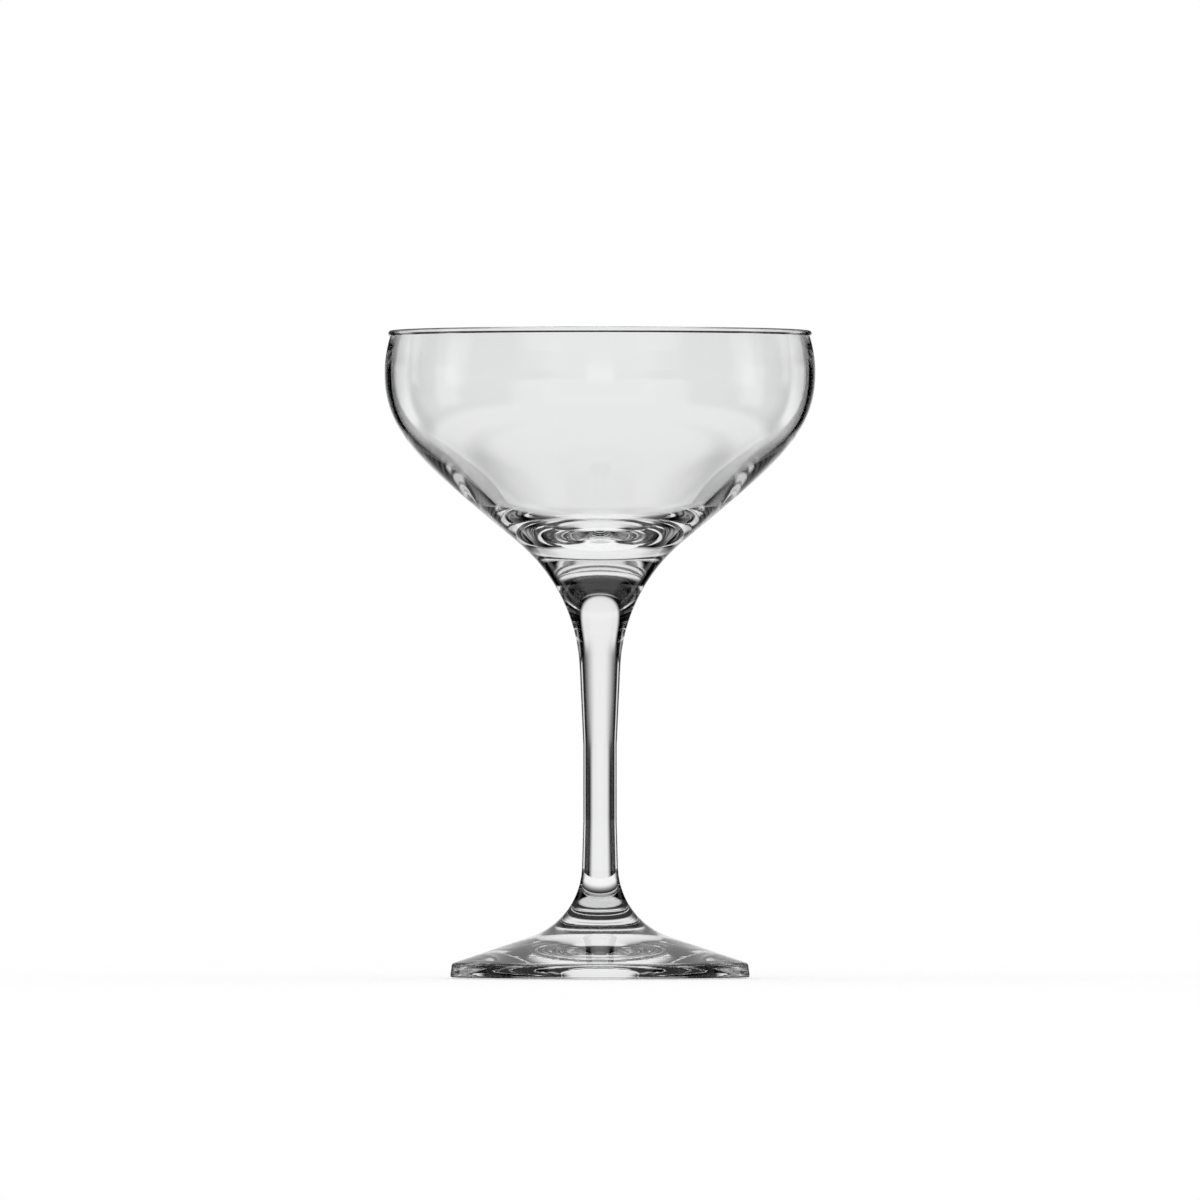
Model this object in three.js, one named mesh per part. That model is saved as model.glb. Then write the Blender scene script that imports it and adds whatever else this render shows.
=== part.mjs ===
import * as THREE from 'three';

// A stemmed cocktail glass with a wide, shallow bowl, in millimetres, +Z up.
// It stands on the plane Z = 0 and is round about the Z axis. The bowl, the stem
// and the foot are made apart and fused hot, at two flat seams.

// Foot: a low cone with a short upright edge, hollowed a little underneath
const footRadius = 35.9;
const footCornerRadius = 0.4;
const restRingWidth = 5.5;
const hollowDepth = 2.8;
const footEdgeHeight = 2.9;
const footEdgeDraft = 0.35;
const footShoulderWidth = 1.05;
const footShoulderRise = 0.75;
const coneSlopeDegrees = 18.67;
const ankleRadius = 18;

// Stem: a straight solid rod that tapers wider towards the foot and the bowl
const rodRadius = 4.045;
const rodStart = 37;
const rodLength = 19;
const lowerTaperDegrees = 1.6;
const upperTaperDegrees = 2.63;
const upperTaperLength = 36.75;
const flareRadius = 41.5;

// Bowl: a cone that rounds up into an upright belly, with a thin drawn-in lip
const coneLeanDegrees = 50.42;
const coneStretch = 2.4;
const bellyRadius = 51.65;
const bellyRise = 38.9;
const bellyConeReach = 29.1;
const bellyTopReach = 13.7;
const lipHeight = 10.1;
const rimRadius = 50.8;
const beadRadius = 0.72;
const beadProud = 0.45;

// Hollow of the bowl: an even wall that thickens into a round floor
const bellyWall = 1.5;
const dishWall = 2.8;
const dishDistance = 10.1;
const dishLeanDegrees = 53;
const dishWallReach = 9.5;
const dishFloorReach = 9.5;
const floorRise = 11.85;
const baseThickness = 7.3;

// Facets: steps round the axis, and along the short and the long curves
const stepsRound = 64;
const shortSteps = 4;
const longSteps = 8;

const glassColour = 0xf3f6f6;
const glassRoughness = 0.03;

const quarterTurn = Math.PI / 2;

// A profile point, by its distance from the axis and its height
function at(radius, height) {
  return new THREE.Vector2(radius, height);
}

// The point at a distance from another one, along a heading
function along(start, heading, distance) {
  return at(start.x + distance * Math.cos(heading), start.y + distance * Math.sin(heading));
}

// An arc of a circle about a profile point, the short way between two angles
function arc(centre, radius, from, to) {
  return new THREE.EllipseCurve(centre.x, centre.y, radius, radius, from, to, to < from);
}

// The points of a curve, the first one left out
function sample(curve, steps) {
  return curve.getPoints(steps).slice(1);
}

// The centre and the end angles of the arc that rounds a corner off to the right
function fillet(corner, radius, headingIn, headingOut) {
  const reach = radius * Math.tan((headingIn - headingOut) / 2);
  const start = along(corner, headingIn, -reach);
  const centre = along(start, headingIn - quarterTurn, radius);
  return { centre, from: headingIn + quarterTurn, to: headingOut + quarterTurn };
}

// The solid that a profile sweeps about the axis
function turned(name, profile) {
  const geometry = new THREE.LatheGeometry(profile, stepsRound);
  geometry.rotateX(quarterTurn);
  const material = new THREE.MeshStandardMaterial({
    color: glassColour,
    roughness: glassRoughness,
    metalness: 0,
  });
  const mesh = new THREE.Mesh(geometry, material);
  mesh.name = name;
  return mesh;
}

// Ankle: the arc between the cone of the foot and the lower taper of the stem
const coneSlope = THREE.MathUtils.degToRad(coneSlopeDegrees);
const lowerTaper = THREE.MathUtils.degToRad(lowerTaperDegrees);
const edgeTop = at(footRadius - footEdgeDraft, footEdgeHeight);
const coneFoot = at(edgeTop.x - footShoulderWidth, edgeTop.y + footShoulderRise);
const rodBottom = at(rodRadius, rodStart);
const axisRun = coneFoot.x - rodBottom.x - (rodBottom.y - coneFoot.y) * Math.tan(lowerTaper);
const ankleRise = axisRun / (1 / Math.tan(coneSlope) - Math.tan(lowerTaper));
const ankleCorner = at(coneFoot.x - ankleRise / Math.tan(coneSlope), coneFoot.y + ankleRise);
const ankleFillet = fillet(ankleCorner, ankleRadius, Math.PI - coneSlope, quarterTurn + lowerTaper);
const ankle = arc(ankleFillet.centre, ankleRadius, ankleFillet.from, ankleFillet.to);
const footSeam = ankle.getPoint(1);

// Flare: the arc between the upper taper of the stem and the cone of the bowl
const upperTaper = THREE.MathUtils.degToRad(upperTaperDegrees);
const wallUp = quarterTurn - THREE.MathUtils.degToRad(coneLeanDegrees);
const wallInward = wallUp + quarterTurn;
const rodTop = at(rodRadius, rodStart + rodLength);
const taperSpread = upperTaperLength * Math.tan(upperTaper);
const flareCorner = at(rodTop.x + taperSpread, rodTop.y + upperTaperLength);
const flareFillet = fillet(flareCorner, flareRadius, quarterTurn - upperTaper, wallUp);

// The stem meets the bowl part of the way up the flare
const floorHeight = flareCorner.y + floorRise;
const seamRise = floorHeight - baseThickness - flareFillet.centre.y;
const seamAngle = Math.PI - Math.asin(seamRise / flareRadius);
const stemFlare = arc(flareFillet.centre, flareRadius, flareFillet.from, seamAngle);
const bowlFlare = arc(flareFillet.centre, flareRadius, seamAngle, flareFillet.to);
const bowlSeam = bowlFlare.getPoint(0);

function makeFoot() {
  const hollowRadius = footRadius - footCornerRadius - restRingWidth;
  const hollowTop = at(0, hollowDepth);
  const hollow = new THREE.QuadraticBezierCurve(
    hollowTop,
    at(hollowRadius / 2, hollowDepth),
    at(hollowRadius, 0),
  );
  const cornerCentre = at(footRadius - footCornerRadius, footCornerRadius);
  const edgeShoulder = new THREE.QuadraticBezierCurve(
    edgeTop,
    at(edgeTop.x, coneFoot.y - footShoulderWidth * Math.tan(coneSlope)),
    coneFoot,
  );
  return turned('foot', [
    hollowTop,
    ...sample(hollow, shortSteps),
    at(cornerCentre.x, 0),
    ...sample(arc(cornerCentre, footCornerRadius, -quarterTurn, 0), shortSteps),
    edgeTop,
    ...sample(edgeShoulder, shortSteps),
    ...ankle.getPoints(longSteps),
    at(0, footSeam.y),
  ]);
}

function makeStem() {
  return turned('stem', [
    at(0, footSeam.y),
    footSeam,
    rodBottom,
    rodTop,
    ...stemFlare.getPoints(longSteps),
    at(0, bowlSeam.y),
  ]);
}

function makeBowl() {
  // Outside, from the seam up to the bead
  const shoulder = along(bowlFlare.getPoint(1), wallUp, coneStretch);
  const belly = at(bellyRadius, shoulder.y + bellyRise);
  const side = new THREE.CubicBezierCurve(
    shoulder,
    along(shoulder, wallUp, bellyConeReach),
    at(bellyRadius, belly.y - bellyTopReach),
    belly,
  );
  const beadCentre = at(rimRadius - beadRadius, belly.y + lipHeight - beadRadius);
  const neckAngle = -Math.acos((beadRadius - beadProud) / beadRadius);
  const beadOutside = arc(beadCentre, beadRadius, neckAngle, quarterTurn);
  const beadInside = arc(beadCentre, beadRadius, quarterTurn, Math.PI);
  const neck = beadOutside.getPoint(0);
  const lip = new THREE.QuadraticBezierCurve(belly, at(bellyRadius, (belly.y + neck.y) / 2), neck);

  // Inside, from the bead down to the floor
  const mouth = beadInside.getPoint(1);
  const innerBelly = at(bellyRadius - bellyWall, belly.y);
  const innerLip = new THREE.QuadraticBezierCurve(
    mouth,
    at(innerBelly.x, (innerBelly.y + mouth.y) / 2),
    innerBelly,
  );
  const dishUp = quarterTurn - THREE.MathUtils.degToRad(dishLeanDegrees);
  const dishEdge = along(along(shoulder, wallUp, dishDistance), wallInward, dishWall);
  const innerSide = new THREE.CubicBezierCurve(
    innerBelly,
    at(innerBelly.x, innerBelly.y - bellyTopReach),
    along(dishEdge, dishUp, bellyConeReach - dishDistance),
    dishEdge,
  );
  const dish = new THREE.CubicBezierCurve(
    dishEdge,
    along(dishEdge, dishUp, -dishWallReach),
    at(dishFloorReach, floorHeight),
    at(0, floorHeight),
  );
  return turned('bowl', [
    at(0, bowlSeam.y),
    ...bowlFlare.getPoints(shortSteps),
    ...side.getPoints(longSteps),
    ...sample(lip, shortSteps),
    ...sample(beadOutside, shortSteps),
    ...sample(beadInside, shortSteps),
    ...sample(innerLip, shortSteps),
    ...sample(innerSide, longSteps),
    ...sample(dish, longSteps),
  ]);
}

const glass = new THREE.Group();
glass.add(makeFoot(), makeStem(), makeBowl());

export default glass;
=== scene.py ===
import math
import bpy
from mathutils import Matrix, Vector


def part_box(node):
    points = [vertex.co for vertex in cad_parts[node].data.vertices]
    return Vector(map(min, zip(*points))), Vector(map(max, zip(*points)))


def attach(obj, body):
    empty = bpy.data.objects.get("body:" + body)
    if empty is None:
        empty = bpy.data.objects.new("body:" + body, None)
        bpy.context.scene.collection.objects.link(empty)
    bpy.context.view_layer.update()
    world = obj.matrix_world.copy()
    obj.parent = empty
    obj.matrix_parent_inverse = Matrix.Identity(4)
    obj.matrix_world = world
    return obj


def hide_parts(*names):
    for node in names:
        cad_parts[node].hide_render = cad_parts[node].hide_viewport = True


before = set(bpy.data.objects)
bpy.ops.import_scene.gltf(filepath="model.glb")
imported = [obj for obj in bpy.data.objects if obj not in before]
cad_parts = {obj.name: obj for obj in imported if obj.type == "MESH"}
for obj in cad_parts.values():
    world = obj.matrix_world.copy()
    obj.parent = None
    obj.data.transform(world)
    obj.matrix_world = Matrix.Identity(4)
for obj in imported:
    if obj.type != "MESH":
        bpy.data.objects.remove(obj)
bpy.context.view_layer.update()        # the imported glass: bowl, stem and foot
print("frame loaded:", ", ".join(sorted(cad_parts)))

mm = 0.001               # the profiles below are in millimetres
fullTurn = 2 * math.pi
quarterTurn = math.pi / 2
turnSteps = 256          # facets round the axis
sharpEdge = math.radians(30)
tiny = 1e-6
white = (1.0, 1.0, 1.0, 1.0)


# profile curves, as lists of (distance from the axis, height)

def along(start, heading, distance):
    return (start[0] + distance * math.cos(heading), start[1] + distance * math.sin(heading))


def arcPoints(centre, radius, fromAngle, toAngle, steps):
    angles = [fromAngle + (toAngle - fromAngle) * i / steps for i in range(steps + 1)]
    return [along(centre, angle, radius) for angle in angles]


def bezierPoints(controls, steps):
    degree = len(controls) - 1
    points = []
    for i in range(steps + 1):
        t = i / steps
        shares = [math.comb(degree, k) * (1 - t) ** (degree - k) * t ** k for k in range(degree + 1)]
        points.append(tuple(sum(s * c[axis] for s, c in zip(shares, controls)) for axis in (0, 1)))
    return points


def straightPoints(start, end, steps):
    return [tuple(a + (b - a) * i / steps for a, b in zip(start, end)) for i in range(steps + 1)]


# the centre and the end angles of the arc that rounds a corner off to the right
def roundedCorner(corner, radius, headingIn, headingOut):
    reach = radius * math.tan((headingIn - headingOut) / 2)
    start = along(corner, headingIn, -reach)
    centre = along(start, headingIn - quarterTurn, radius)
    return centre, headingIn + quarterTurn, headingOut + quarterTurn


# one closed turned piece; seamHeights are the flat faces where it is fused to its neighbours
def turnPiece(name, stretches, seamHeights, glass, seam):
    profile = []
    for stretch in stretches:
        profile += [p for p in stretch if not profile or math.dist(p, profile[-1]) > tiny]
    verts, faces, rings = [], [], []
    for radius, height in profile:
        first = len(verts)
        steps = turnSteps if radius > tiny else 1
        rings.append([first + i for i in range(steps)])
        for i in range(steps):
            angle = fullTurn * i / turnSteps
            verts.append((radius * mm * math.cos(angle), radius * mm * math.sin(angle), height * mm))
    for lower, upper in zip(rings, rings[1:]):
        for i in range(turnSteps):
            corners = [lower[i % len(lower)], lower[(i + 1) % len(lower)],
                       upper[(i + 1) % len(upper)], upper[i % len(upper)]]
            faces.append(list(dict.fromkeys(corners)))
    mesh = bpy.data.meshes.new(name)
    mesh.from_pydata(verts, [], faces)
    mesh.materials.append(glass)
    mesh.materials.append(seam)
    for face in mesh.polygons:
        face.use_smooth = True
        for height in seamHeights:
            if all(abs(verts[v][2] - height * mm) < tiny * mm for v in face.vertices):
                face.material_index = 1          # the seam's slot
    mesh.set_sharp_from_angle(angle=sharpEdge)
    piece = bpy.data.objects.new(name, mesh)
    bpy.context.scene.collection.objects.link(piece)
    return piece


# adds a node, sets its plain inputs and links the others; i0, i1 and so on are inputs by number
def addNode(tree, kind, settings=None, **inputs):
    node = tree.nodes.new(kind)
    for key, value in (settings or {}).items():
        setattr(node, key, value)
    for key, value in inputs.items():
        byNumber = key[0] == "i" and key[1:].isdigit()
        socket = node.inputs[int(key[1:]) if byNumber else key]
        if isinstance(value, bpy.types.NodeSocket):
            tree.links.new(value, socket)
        else:
            socket.default_value = value
    return node


def newMaterial(name):
    material = bpy.data.materials.new(name)
    material.use_nodes = True
    material.node_tree.nodes.clear()
    return material, material.node_tree


def mathNode(tree, operation, a, b=0.0):
    return addNode(tree, "ShaderNodeMath", {"operation": operation}, i0=a, i1=b).outputs[0]


def rampNode(tree, value, low, high, fromValue=0.0, toValue=1.0):
    ramp = addNode(tree, "ShaderNodeMapRange", {"interpolation_type": "SMOOTHSTEP"},
                   i0=value, i1=low, i2=high, i3=fromValue, i4=toValue)
    return ramp.outputs[0]


def blendNode(tree, share, first, second):
    return addNode(tree, "ShaderNodeMix", i0=share, i2=first, i3=second).outputs[0]


def splitPlace(tree, place):
    return addNode(tree, "ShaderNodeSeparateXYZ", i0=place).outputs


# clear fire-polished glass; each piece keeps faint marks of how it was made
clearGlass = dict(
    ior=1.45,
    paleTint=white,
    deepTint=(0.988, 0.993, 0.993, 1.0),
    cloudScale=24.0,              # per metre
    smearScale=55.0,
    smearShare=(0.35, 0.75),
    polish=(0.0, 0.012),          # roughness from clean to smeared
    waveRate=20.0,                # radians in one unit of a wave texture at scale 1
)


def makeGlass(name, makeMarks, markDepth, wear=None):
    material, tree = newMaterial(name)
    place = addNode(tree, "ShaderNodeTexCoord").outputs["Object"]
    cloud = addNode(tree, "ShaderNodeTexNoise", Vector=place, Scale=clearGlass["cloudScale"])
    tint = addNode(tree, "ShaderNodeMix", {"data_type": "RGBA"}, i0=cloud.outputs[0],
                   i6=clearGlass["paleTint"], i7=clearGlass["deepTint"]).outputs[2]
    smear = addNode(tree, "ShaderNodeTexNoise", Vector=place, Scale=clearGlass["smearScale"])
    rough = rampNode(tree, smear.outputs[0], *clearGlass["smearShare"], *clearGlass["polish"])
    if wear:
        rough = mathNode(tree, "MAXIMUM", rough, wear(tree, place))
    marks = makeMarks(tree, place)
    bump = addNode(tree, "ShaderNodeBump", Strength=1.0, Distance=markDepth, Height=marks)
    shader = addNode(tree, "ShaderNodeBsdfPrincipled", Roughness=rough, Normal=bump.outputs[0],
                     IOR=clearGlass["ior"])
    tree.links.new(tint, shader.inputs["Base Color"])
    shader.inputs["Transmission Weight"].default_value = 1.0
    addNode(tree, "ShaderNodeOutputMaterial", Surface=shader.outputs[0])
    return material


# the scale of a wave texture whose bands are this many millimetres apart
def bandScale(spacing):
    return fullTurn / (clearGlass["waveRate"] * spacing * mm)


# the fused seams can't be seen: light passes from piece to piece unbent
def makeSeam():
    material, tree = newMaterial("fusedSeam")
    clear = addNode(tree, "ShaderNodeBsdfTransparent")
    addNode(tree, "ShaderNodeOutputMaterial", Surface=clear.outputs[0])
    return material


fusedSeam = makeSeam()
print("seam material made")

# foot: a low cone with a short upright edge, hollowed a little underneath
foot = dict(
    radius=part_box("foot")[1].x / mm,
    cornerRadius=0.4,
    restRing=5.5,
    hollowDepth=2.8,
    edgeHeight=2.9,
    edgeDraft=0.35,
    shoulderWidth=1.05,
    shoulderRise=0.75,
    coneSlope=math.radians(18.67),
    ankleRadius=18.0,
    hollowSteps=32,
    cornerSteps=8,
    shoulderSteps=12,
    coneSteps=24,
    ankleSteps=70,
    ringSpacing=1.3,              # spun rings in the foot, in millimetres
    ringDepth=0.001,
    ringWander=1.5,
    scuffHeight=0.25,
    scuffRoughness=0.14,
    scuffScale=900.0,
    scuffShare=(0.4, 0.7),
)


def makeFootGlass():
    def marks(tree, place):
        settings = {"wave_type": "RINGS", "rings_direction": "Z"}
        rings = addNode(tree, "ShaderNodeTexWave", settings, Vector=place,
                        Scale=bandScale(foot["ringSpacing"]), Distortion=foot["ringWander"])
        return rings.outputs["Fac"]

    # the ring that it stands on is scuffed by tables
    def wear(tree, place):
        height = splitPlace(tree, place)["Z"]
        low = rampNode(tree, height, 0.0, foot["scuffHeight"] * mm, 1.0, 0.0)
        patches = addNode(tree, "ShaderNodeTexNoise", Vector=place, Scale=foot["scuffScale"])
        scuffs = rampNode(tree, patches.outputs[0], *foot["scuffShare"], 0.0, foot["scuffRoughness"])
        return mathNode(tree, "MULTIPLY", low, scuffs)

    return makeGlass("footGlass", marks, foot["ringDepth"] * mm, wear)


def makeFoot():
    hollowRadius = foot["radius"] - foot["cornerRadius"] - foot["restRing"]
    hollowTop = (0, foot["hollowDepth"])
    hollow = bezierPoints([hollowTop, (hollowRadius / 2, hollowTop[1]), (hollowRadius, 0)],
                          foot["hollowSteps"])
    cornerCentre = (foot["radius"] - foot["cornerRadius"], foot["cornerRadius"])
    corner = arcPoints(cornerCentre, foot["cornerRadius"], -quarterTurn, 0, foot["cornerSteps"])
    restRing = straightPoints(hollow[-1], corner[0], foot["cornerSteps"])
    edge = straightPoints(corner[-1], edgeTop, foot["cornerSteps"])
    shoulderTip = (edgeTop[0], coneFoot[1] - foot["shoulderWidth"] * math.tan(foot["coneSlope"]))
    shoulder = bezierPoints([edgeTop, shoulderTip, coneFoot], foot["shoulderSteps"])
    cone = straightPoints(coneFoot, ankle[0], foot["coneSteps"])
    stretches = [hollow, restRing, corner, edge, shoulder, cone, ankle, [(0, footSeam[1])]]
    return turnPiece("glassFoot", stretches, [footSeam[1]], makeFootGlass(), fusedSeam)


# stem: a straight rod that tapers wider towards the foot and the bowl
stem = dict(
    rodRadius=4.045,
    rodStart=37.0,
    rodLength=19.0,
    lowerTaper=math.radians(1.6),
    upperTaper=math.radians(2.63),
    upperTaperLength=36.75,
    flareRadius=41.5,
    rodSteps=16,
    flareSteps=60,
    drawScale=300.0,              # lines drawn along the stem
    drawStretch=0.04,
    drawDepth=0.0004,
)


def makeStemGlass():
    def marks(tree, place):
        stretch = (1.0, 1.0, stem["drawStretch"])
        drawn = addNode(tree, "ShaderNodeVectorMath", {"operation": "MULTIPLY"}, i0=place, i1=stretch)
        lines = addNode(tree, "ShaderNodeTexNoise", Vector=drawn.outputs[0], Scale=stem["drawScale"])
        return lines.outputs[0]

    return makeGlass("stemGlass", marks, stem["drawDepth"] * mm)


def makeStem():
    steps = stem["rodSteps"]
    lowerTaper = straightPoints(footSeam, rodBottom, steps)
    rod = straightPoints(rodBottom, rodTop, steps)
    upperTaper = straightPoints(rodTop, stemFlare[0], steps)
    stretches = [[(0, footSeam[1])], lowerTaper, rod, upperTaper, stemFlare, [(0, bowlSeam[1])]]
    return turnPiece("glassStem", stretches, [footSeam[1], bowlSeam[1]], makeStemGlass(), fusedSeam)


# bowl: a cone that rounds up into an upright belly, with a thin drawn-in lip
bowl = dict(
    coneLean=math.radians(50.42),
    coneStretch=2.4,
    bellyRadius=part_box("bowl")[1].x / mm,
    bellyRise=38.9,
    bellyConeReach=29.1,
    bellyTopReach=13.7,
    lipHeight=10.1,
    rimRadius=50.8,
    beadRadius=0.72,
    beadProud=0.45,
    bellyWall=1.5,
    dishWall=2.8,
    dishDistance=10.1,
    dishLean=math.radians(53.0),
    dishWallReach=9.5,
    dishFloorReach=9.5,
    floorRise=11.85,
    flareSteps=30,
    coneSteps=4,
    wallSteps=90,
    lipSteps=24,
    beadSteps=12,
    dishSteps=60,
    waveScale=28.0,               # slow waves of blown glass
    waveDepth=0.008,
    turnSpacing=2.6,
    turnShare=0.01,
    turnWander=2.0,
)


def makeBowlGlass():
    def marks(tree, place):
        waves = addNode(tree, "ShaderNodeTexNoise", Vector=place, Scale=bowl["waveScale"], Detail=0.0)
        settings = {"wave_type": "BANDS", "bands_direction": "Z"}
        turns = addNode(tree, "ShaderNodeTexWave", settings, Vector=place,
                        Scale=bandScale(bowl["turnSpacing"]), Distortion=bowl["turnWander"])
        fine = mathNode(tree, "MULTIPLY", turns.outputs["Fac"], bowl["turnShare"])
        return mathNode(tree, "ADD", waves.outputs[0], fine)

    return makeGlass("bowlGlass", marks, bowl["waveDepth"] * mm)


def makeBowl():
    # outside, from the seam up to the bead
    shoulder = along(bowlFlare[-1], wallUp, bowl["coneStretch"])
    cone = straightPoints(bowlFlare[-1], shoulder, bowl["coneSteps"])
    belly = (bowl["bellyRadius"], shoulder[1] + bowl["bellyRise"])
    side = bezierPoints([shoulder, along(shoulder, wallUp, bowl["bellyConeReach"]),
                         (belly[0], belly[1] - bowl["bellyTopReach"]), belly], bowl["wallSteps"])
    bead = bowl["beadRadius"]
    beadCentre = (bowl["rimRadius"] - bead, belly[1] + bowl["lipHeight"] - bead)
    neckAngle = -math.acos((bead - bowl["beadProud"]) / bead)
    beadOutside = arcPoints(beadCentre, bead, neckAngle, quarterTurn, bowl["beadSteps"])
    beadInside = arcPoints(beadCentre, bead, quarterTurn, math.pi, bowl["beadSteps"])
    neck = beadOutside[0]
    lip = bezierPoints([belly, (belly[0], (belly[1] + neck[1]) / 2), neck], bowl["lipSteps"])

    # inside, from the bead down to the floor
    mouth = beadInside[-1]
    innerBelly = (belly[0] - bowl["bellyWall"], belly[1])
    innerLip = bezierPoints([mouth, (innerBelly[0], (innerBelly[1] + mouth[1]) / 2), innerBelly],
                            bowl["lipSteps"])
    dishUp = quarterTurn - bowl["dishLean"]
    dishOutside = along(shoulder, wallUp, bowl["dishDistance"])
    dishEdge = along(dishOutside, wallUp + quarterTurn, bowl["dishWall"])
    innerReach = bowl["bellyConeReach"] - bowl["dishDistance"]
    innerSide = bezierPoints([innerBelly, (innerBelly[0], innerBelly[1] - bowl["bellyTopReach"]),
                              along(dishEdge, dishUp, innerReach), dishEdge], bowl["wallSteps"])
    floorHeight = flareCorner[1] + bowl["floorRise"]
    dish = bezierPoints([dishEdge, along(dishEdge, dishUp, -bowl["dishWallReach"]),
                         (bowl["dishFloorReach"], floorHeight), (0, floorHeight)], bowl["dishSteps"])
    stretches = [[(0, bowlSeam[1])], bowlFlare, cone, side, lip, beadOutside, beadInside,
                 innerLip, innerSide, dish]
    return turnPiece("glassBowl", stretches, [bowlSeam[1]], makeBowlGlass(), fusedSeam)


# ankle arc between the foot's cone and the stem's lower taper
edgeTop = (foot["radius"] - foot["edgeDraft"], foot["edgeHeight"])
coneFoot = (edgeTop[0] - foot["shoulderWidth"], edgeTop[1] + foot["shoulderRise"])
coneRun = 1 / math.tan(foot["coneSlope"])
taperRun = math.tan(stem["lowerTaper"])
axisRun = coneFoot[0] - stem["rodRadius"] - (stem["rodStart"] - coneFoot[1]) * taperRun
ankleRise = axisRun / (coneRun - taperRun)
ankleCorner = (coneFoot[0] - ankleRise * coneRun, coneFoot[1] + ankleRise)
ankleCentre, ankleFrom, ankleTo = roundedCorner(
    ankleCorner, foot["ankleRadius"], math.pi - foot["coneSlope"], quarterTurn + stem["lowerTaper"])
ankle = arcPoints(ankleCentre, foot["ankleRadius"], ankleFrom, ankleTo, foot["ankleSteps"])
footSeam = ankle[-1]

# flare arc between the stem's upper taper and the bowl's cone, cut at the bowl's seam
rodBottom = (stem["rodRadius"], stem["rodStart"])
rodTop = (stem["rodRadius"], stem["rodStart"] + stem["rodLength"])
flareCorner = (rodTop[0] + stem["upperTaperLength"] * math.tan(stem["upperTaper"]),
               rodTop[1] + stem["upperTaperLength"])
wallUp = quarterTurn - bowl["coneLean"]
flareCentre, flareFrom, flareTo = roundedCorner(
    flareCorner, stem["flareRadius"], quarterTurn - stem["upperTaper"], wallUp)
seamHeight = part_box("bowl")[0].z / mm
seamAngle = math.pi - math.asin((seamHeight - flareCentre[1]) / stem["flareRadius"])
stemFlare = arcPoints(flareCentre, stem["flareRadius"], flareFrom, seamAngle, stem["flareSteps"])
bowlFlare = arcPoints(flareCentre, stem["flareRadius"], seamAngle, flareTo, bowl["flareSteps"])
bowlSeam = bowlFlare[0]

for node, piece in (("foot", makeFoot()), ("stem", makeStem()), ("bowl", makeBowl())):
    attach(piece, "root")
    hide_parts(node)
    print("made", piece.name, len(piece.data.polygons), "faces")


# studio: a white room, hung with dark cloth so that the glass's edges read dark

# stage pieces other than the plain floor show in the glass, but not to the camera
def addStage(name, verts, faces, material, plain=False):
    mesh = bpy.data.meshes.new(name)
    mesh.from_pydata(verts, [], faces)
    mesh.materials.append(material)
    stage = bpy.data.objects.new(name, mesh)
    bpy.context.scene.collection.objects.link(stage)
    stage.visible_camera = plain
    stage.visible_diffuse = plain
    stage.visible_shadow = plain


# makeShare gives how much of it shows: the slant that it is given is 0 square on and 1 edge on
def glowMaterial(name, makeLevel, makeShare=None):
    material, tree = newMaterial(name)
    place = addNode(tree, "ShaderNodeNewGeometry").outputs["Position"]
    glow = addNode(tree, "ShaderNodeEmission", Color=white, Strength=makeLevel(tree, place))
    # light on its way to the floor passes, so that the floor under the glass stays lit
    bounced = addNode(tree, "ShaderNodeLightPath").outputs["Diffuse Depth"]
    share = mathNode(tree, "LESS_THAN", bounced, 1.0)
    if makeShare:
        slant = addNode(tree, "ShaderNodeLayerWeight").outputs["Facing"]
        share = mathNode(tree, "MULTIPLY", share, makeShare(tree, place, slant))
    clear = addNode(tree, "ShaderNodeBsdfTransparent")
    both = addNode(tree, "ShaderNodeMixShader", i0=share, i1=clear.outputs[0], i2=glow.outputs[0])
    addNode(tree, "ShaderNodeOutputMaterial", Surface=both.outputs[0])
    return material


# the corners of a ring about the glass
def ringCorners(radius, height, sides):
    angles = [fullTurn * i / sides for i in range(sides)]
    return [(radius * math.sin(angle), radius * math.cos(angle), height) for angle in angles]


# how far round a place is from straight behind the glass, to either side, in degrees
def turnOf(tree, place):
    split = splitPlace(tree, place)
    aside = mathNode(tree, "ABSOLUTE", split["X"])
    return mathNode(tree, "DEGREES", mathNode(tree, "ARCTAN2", aside, split["Y"]))


def groundDistance(tree, place):
    flatten = (1, 1, 0)
    flat = addNode(tree, "ShaderNodeVectorMath", {"operation": "MULTIPLY"}, i0=place, i1=flatten)
    length = addNode(tree, "ShaderNodeVectorMath", {"operation": "LENGTH"}, i0=flat.outputs[0])
    return length.outputs["Value"]


# 1 between the two middle limits of any of the stretches, and fading out to the outer ones
def within(tree, value, stretches):
    inside = 0.0
    for start, full, fading, end in stretches:
        rise = rampNode(tree, value, start, full)
        fall = rampNode(tree, value, fading, end, 1.0, 0.0)
        inside = mathNode(tree, "MAXIMUM", inside, mathNode(tree, "MULTIPLY", rise, fall))
    return inside


def makeRoom():
    world = bpy.data.worlds.new("whiteRoom")
    bpy.context.scene.world = world
    world.use_nodes = True
    tree = world.node_tree
    tree.nodes.clear()
    background = addNode(tree, "ShaderNodeBackground", Color=white, Strength=1.0)
    addNode(tree, "ShaderNodeOutputWorld", Surface=background.outputs[0])


# the floor is lifted to white for the eye and in the glass, and keeps the glass's shadow
floor = dict(
    halfWidth=6.0,
    drop=0.0003,                  # just below the ring that the foot stands on
    colour=0.8,
)


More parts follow.
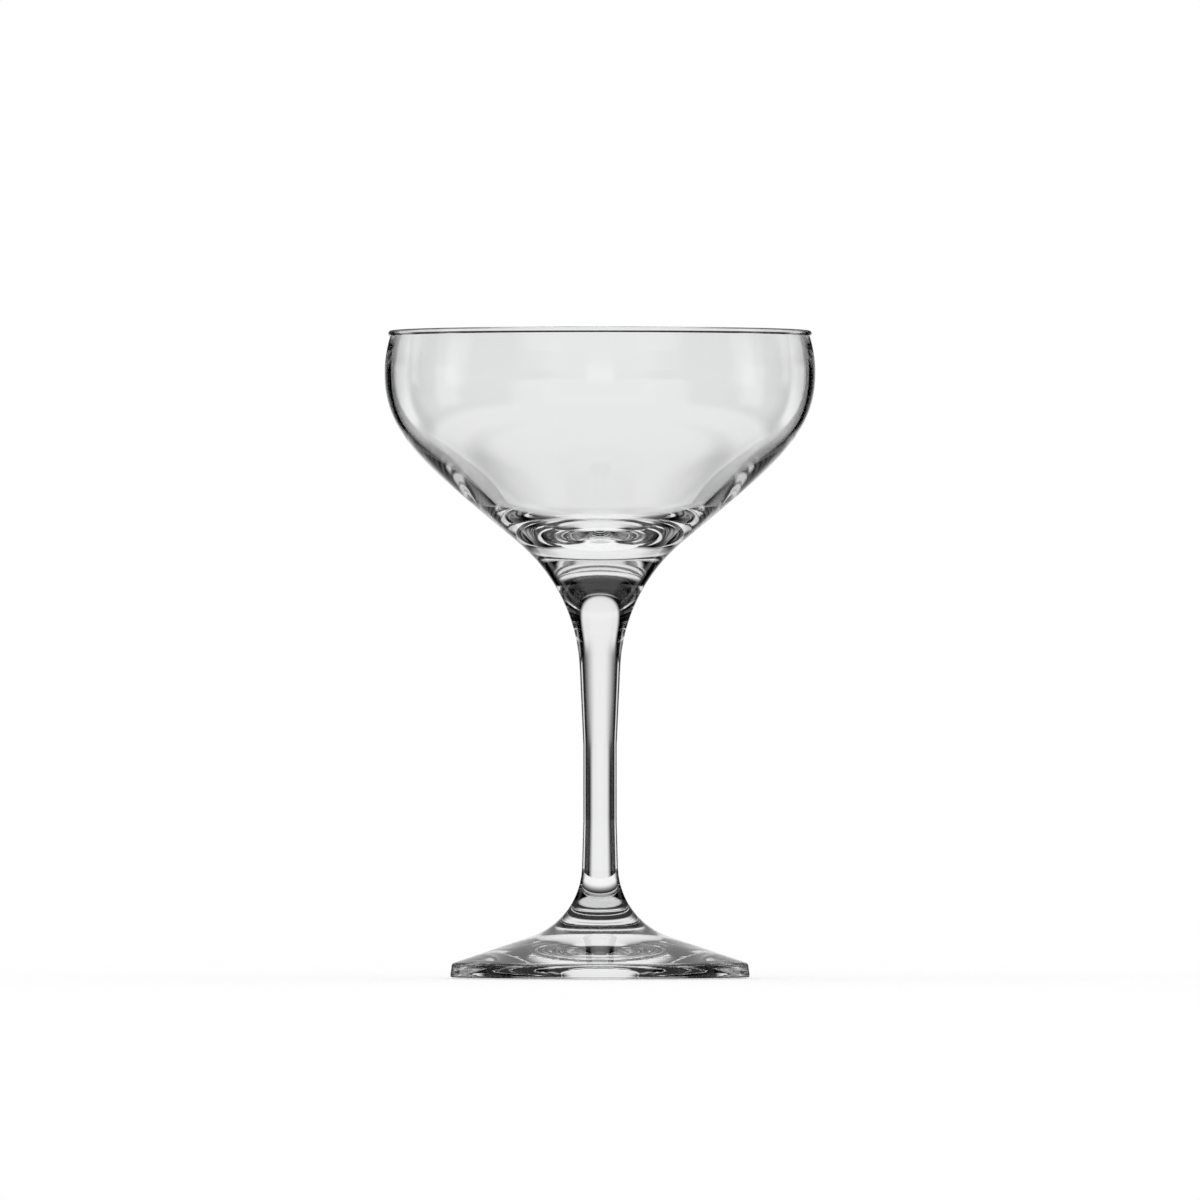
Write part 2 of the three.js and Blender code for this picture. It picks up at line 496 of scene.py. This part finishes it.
def makeFloor():
    material, tree = newMaterial("paleFloor")
    level = floor["colour"]
    shade = addNode(tree, "ShaderNodeBsdfDiffuse", Color=(level, level, level, 1.0))
    rays = addNode(tree, "ShaderNodeLightPath").outputs
    inGlass = mathNode(tree, "MAXIMUM", rays["Is Glossy Ray"], rays["Is Transmission Ray"])
    seen = mathNode(tree, "MAXIMUM", rays["Is Camera Ray"], inGlass)
    missing = mathNode(tree, "MULTIPLY", seen, 1 - level)
    lift = addNode(tree, "ShaderNodeEmission", Color=white, Strength=missing)
    both = addNode(tree, "ShaderNodeAddShader", i0=shade.outputs[0], i1=lift.outputs[0])
    addNode(tree, "ShaderNodeOutputMaterial", Surface=both.outputs[0])
    half = floor["halfWidth"]
    low = -floor["drop"]
    corners = [(-half, -half, low), (half, -half, low), (half, half, low), (-half, half, low)]
    addStage("paleFloor", corners, [[0, 1, 2, 3]], material, plain=True)


# dark cloth hung round and over the glass, with lit stretches
# turns are in degrees round from behind the glass, to either side
hungCloth = dict(
    radius=1.3,
    top=1.6,
    sides=72,
    dark=0.002,
    hemLevel=0.14,                # the cloth is paler low down, where the floor lights it
    hemHeights=(0.06, 0.22),
    sideGlow=dict(turns=[(46, 56, 68, 78)], heights=(0.25, 0.4, 0.65, 0.9), level=0.36),
    frontWall=dict(turns=[(140, 158, 200, 210)], heights=(-0.2, -0.1, 0.5, 0.9), level=0.4),
    # low white gaps at the diagonals, the sides and in front, so that the glass is clear from there
    gaps=dict(turns=[(33, 39, 51, 57), (78, 85, 95, 102), (168, 175, 200, 210)],
              heights=(-0.2, -0.1, 0.18, 0.26), level=0.85),
)


def makeHungCloth():
    def level(tree, place):
        height = splitPlace(tree, place)["Z"]
        turn = turnOf(tree, place)
        shade = rampNode(tree, height, *hungCloth["hemHeights"], hungCloth["hemLevel"],
                         hungCloth["dark"])
        for glow in (hungCloth["sideGlow"], hungCloth["frontWall"], hungCloth["gaps"]):
            lit = mathNode(tree, "MULTIPLY", within(tree, height, [glow["heights"]]),
                           within(tree, turn, glow["turns"]))
            shade = mathNode(tree, "MAXIMUM", shade, mathNode(tree, "MULTIPLY", lit, glow["level"]))
        return shade

    sides = hungCloth["sides"]
    verts = ringCorners(hungCloth["radius"], -floor["drop"], sides)
    verts += ringCorners(hungCloth["radius"], hungCloth["top"], sides)
    faces = [[i, (i + 1) % sides, sides + (i + 1) % sides, sides + i] for i in range(sides)]
    faces.append(list(range(sides, 2 * sides)))
    addStage("darkCloth", verts, faces, glowMaterial("darkCloth", level))


# the floor as the glass sees it: a painted shadow under and round the foot, with dark cloths to the
# left and right, which show at a low slant and leave the plain floor to be seen from above
laidClothAndShadow = dict(
    plainLevel=0.96,
    paintedFootShadow=0.03,                # painted shadow, darkest under and round the foot
    paintedShadowFade=(0.042, 0.08),
    closeBy=dict(reach=(-1.0, 0.0, 0.3, 0.42), turns=[(32, 52, 124, 138)], level=0.0),
    # further out, to either side of the gaps in the hung cloth
    farOut=dict(reach=(0.3, 0.42, 2.0, 3.0), level=0.06,
                turns=[(8, 22, 33, 39), (51, 57, 78, 85), (95, 102, 126, 140)]),
    inFront=dict(reach=(0.3, 0.42, 2.0, 3.0), turns=[(152, 162, 200, 210)], level=0.7),
    steepReach=(0.12, 0.16),      # up to here it shows at steeper slants
    steepSlant=(0.16, 0.26),
    lowSlant=(0.45, 0.56),
)


def makeLaidClothAndShadow():
    def level(tree, place):
        distance = groundDistance(tree, place)
        turn = turnOf(tree, place)
        # painted shadow: the floor's level falls from plain white to dark towards the foot
        shade = rampNode(tree, distance, *laidClothAndShadow["paintedShadowFade"], laidClothAndShadow["paintedFootShadow"],
                         laidClothAndShadow["plainLevel"])
        dark = 0.0
        for cloth in (laidClothAndShadow["closeBy"], laidClothAndShadow["farOut"], laidClothAndShadow["inFront"]):
            cover = mathNode(tree, "MULTIPLY", within(tree, distance, [cloth["reach"]]),
                             within(tree, turn, cloth["turns"]))
            dark = mathNode(tree, "ADD", dark, mathNode(tree, "MULTIPLY", cover, 1 - cloth["level"]))
        return mathNode(tree, "MULTIPLY", shade, mathNode(tree, "SUBTRACT", 1.0, dark))

    def share(tree, place, slant):
        outside = rampNode(tree, groundDistance(tree, place), *laidClothAndShadow["steepReach"])
        near = rampNode(tree, slant, *laidClothAndShadow["steepSlant"])
        far = rampNode(tree, slant, *laidClothAndShadow["lowSlant"])
        return blendNode(tree, outside, near, far)

    sides = hungCloth["sides"]
    verts = ringCorners(hungCloth["radius"], -floor["drop"] / 2, sides)
    addStage("floorClothAndShadow", verts, [list(range(sides))], glowMaterial("floorClothAndShadow", level, share))


# white card with a round top close behind the glass: narrow low down, and softest in its middle height
card = dict(
    distance=0.13,
    halfWidth=0.15,
    height=0.206,
    slantFade=(0.28, 0.34),       # it shows only nearly square on
    level=0.86,
    sideFade=(0.056, 0.082),
    lowFade=(0.03, 0.06),
    softFade=(0.01, 0.092),
    softHeights=(0.045, 0.075, 0.092, 0.118),
    roundFrom=0.135,
    roundShare=1.15,
)


def makeCard():
    def level(tree, place):
        split = splitPlace(tree, place)
        aside = mathNode(tree, "ABSOLUTE", split["X"])
        height = split["Z"]
        above = mathNode(tree, "MAXIMUM", mathNode(tree, "SUBTRACT", height, card["roundFrom"]), 0.0)
        rise = mathNode(tree, "MULTIPLY", above, card["roundShare"])
        squares = mathNode(tree, "ADD", mathNode(tree, "MULTIPLY", aside, aside),
                           mathNode(tree, "MULTIPLY", rise, rise))
        crisp = rampNode(tree, mathNode(tree, "SQRT", squares), *card["sideFade"], card["level"], 0.0)
        soft = rampNode(tree, aside, *card["softFade"], card["level"], 0.0)
        narrow = rampNode(tree, aside, *card["lowFade"], card["level"], 0.0)
        risen = rampNode(tree, height, *card["softHeights"][:2])
        upper = rampNode(tree, height, *card["softHeights"][2:])
        return blendNode(tree, upper, blendNode(tree, risen, narrow, soft), crisp)

    def share(tree, place, slant):
        return rampNode(tree, slant, *card["slantFade"], 1.0, 0.0)

    half = card["halfWidth"]
    high = card["height"]
    back = card["distance"]
    verts = [(-half, back, 0), (half, back, 0), (half, back, high), (-half, back, high)]
    addStage("whiteCard", verts, [[0, 1, 2, 3]], glowMaterial("whiteCard", level, share))


makeRoom()
makeFloor()
makeHungCloth()
makeLaidClothAndShadow()
makeCard()
print("studio made")

# camera: level with the stem, a long way off, aimed just above the middle of the glass
view = dict(
    distance=4.86,
    eyeHeight=0.0551,
    aimHeight=0.0904,
    frameWidth=0.2877,
    sensorWidth=36.0,
    glassBounces=128,             # light crosses many faces inside the glass
    clearBounces=64,
)


def makeCamera():
    data = bpy.data.cameras.new("camera")
    data.sensor_width = view["sensorWidth"]
    data.lens = view["sensorWidth"] * view["distance"] / view["frameWidth"]
    camera = bpy.data.objects.new("camera", data)
    bpy.context.scene.collection.objects.link(camera)
    camera.location = (0, -view["distance"], view["eyeHeight"])
    aim = Vector((0, 0, view["aimHeight"])) - camera.location
    camera.rotation_euler = aim.to_track_quat("-Z", "Y").to_euler()
    bpy.context.scene.camera = camera


makeCamera()

scene = bpy.context.scene
scene.view_settings.view_transform = "Standard"
scene.cycles.max_bounces = view["glassBounces"]
scene.cycles.transmission_bounces = view["glassBounces"]
scene.cycles.glossy_bounces = view["glassBounces"]
scene.cycles.transparent_max_bounces = view["clearBounces"]
print("camera and render settings made")
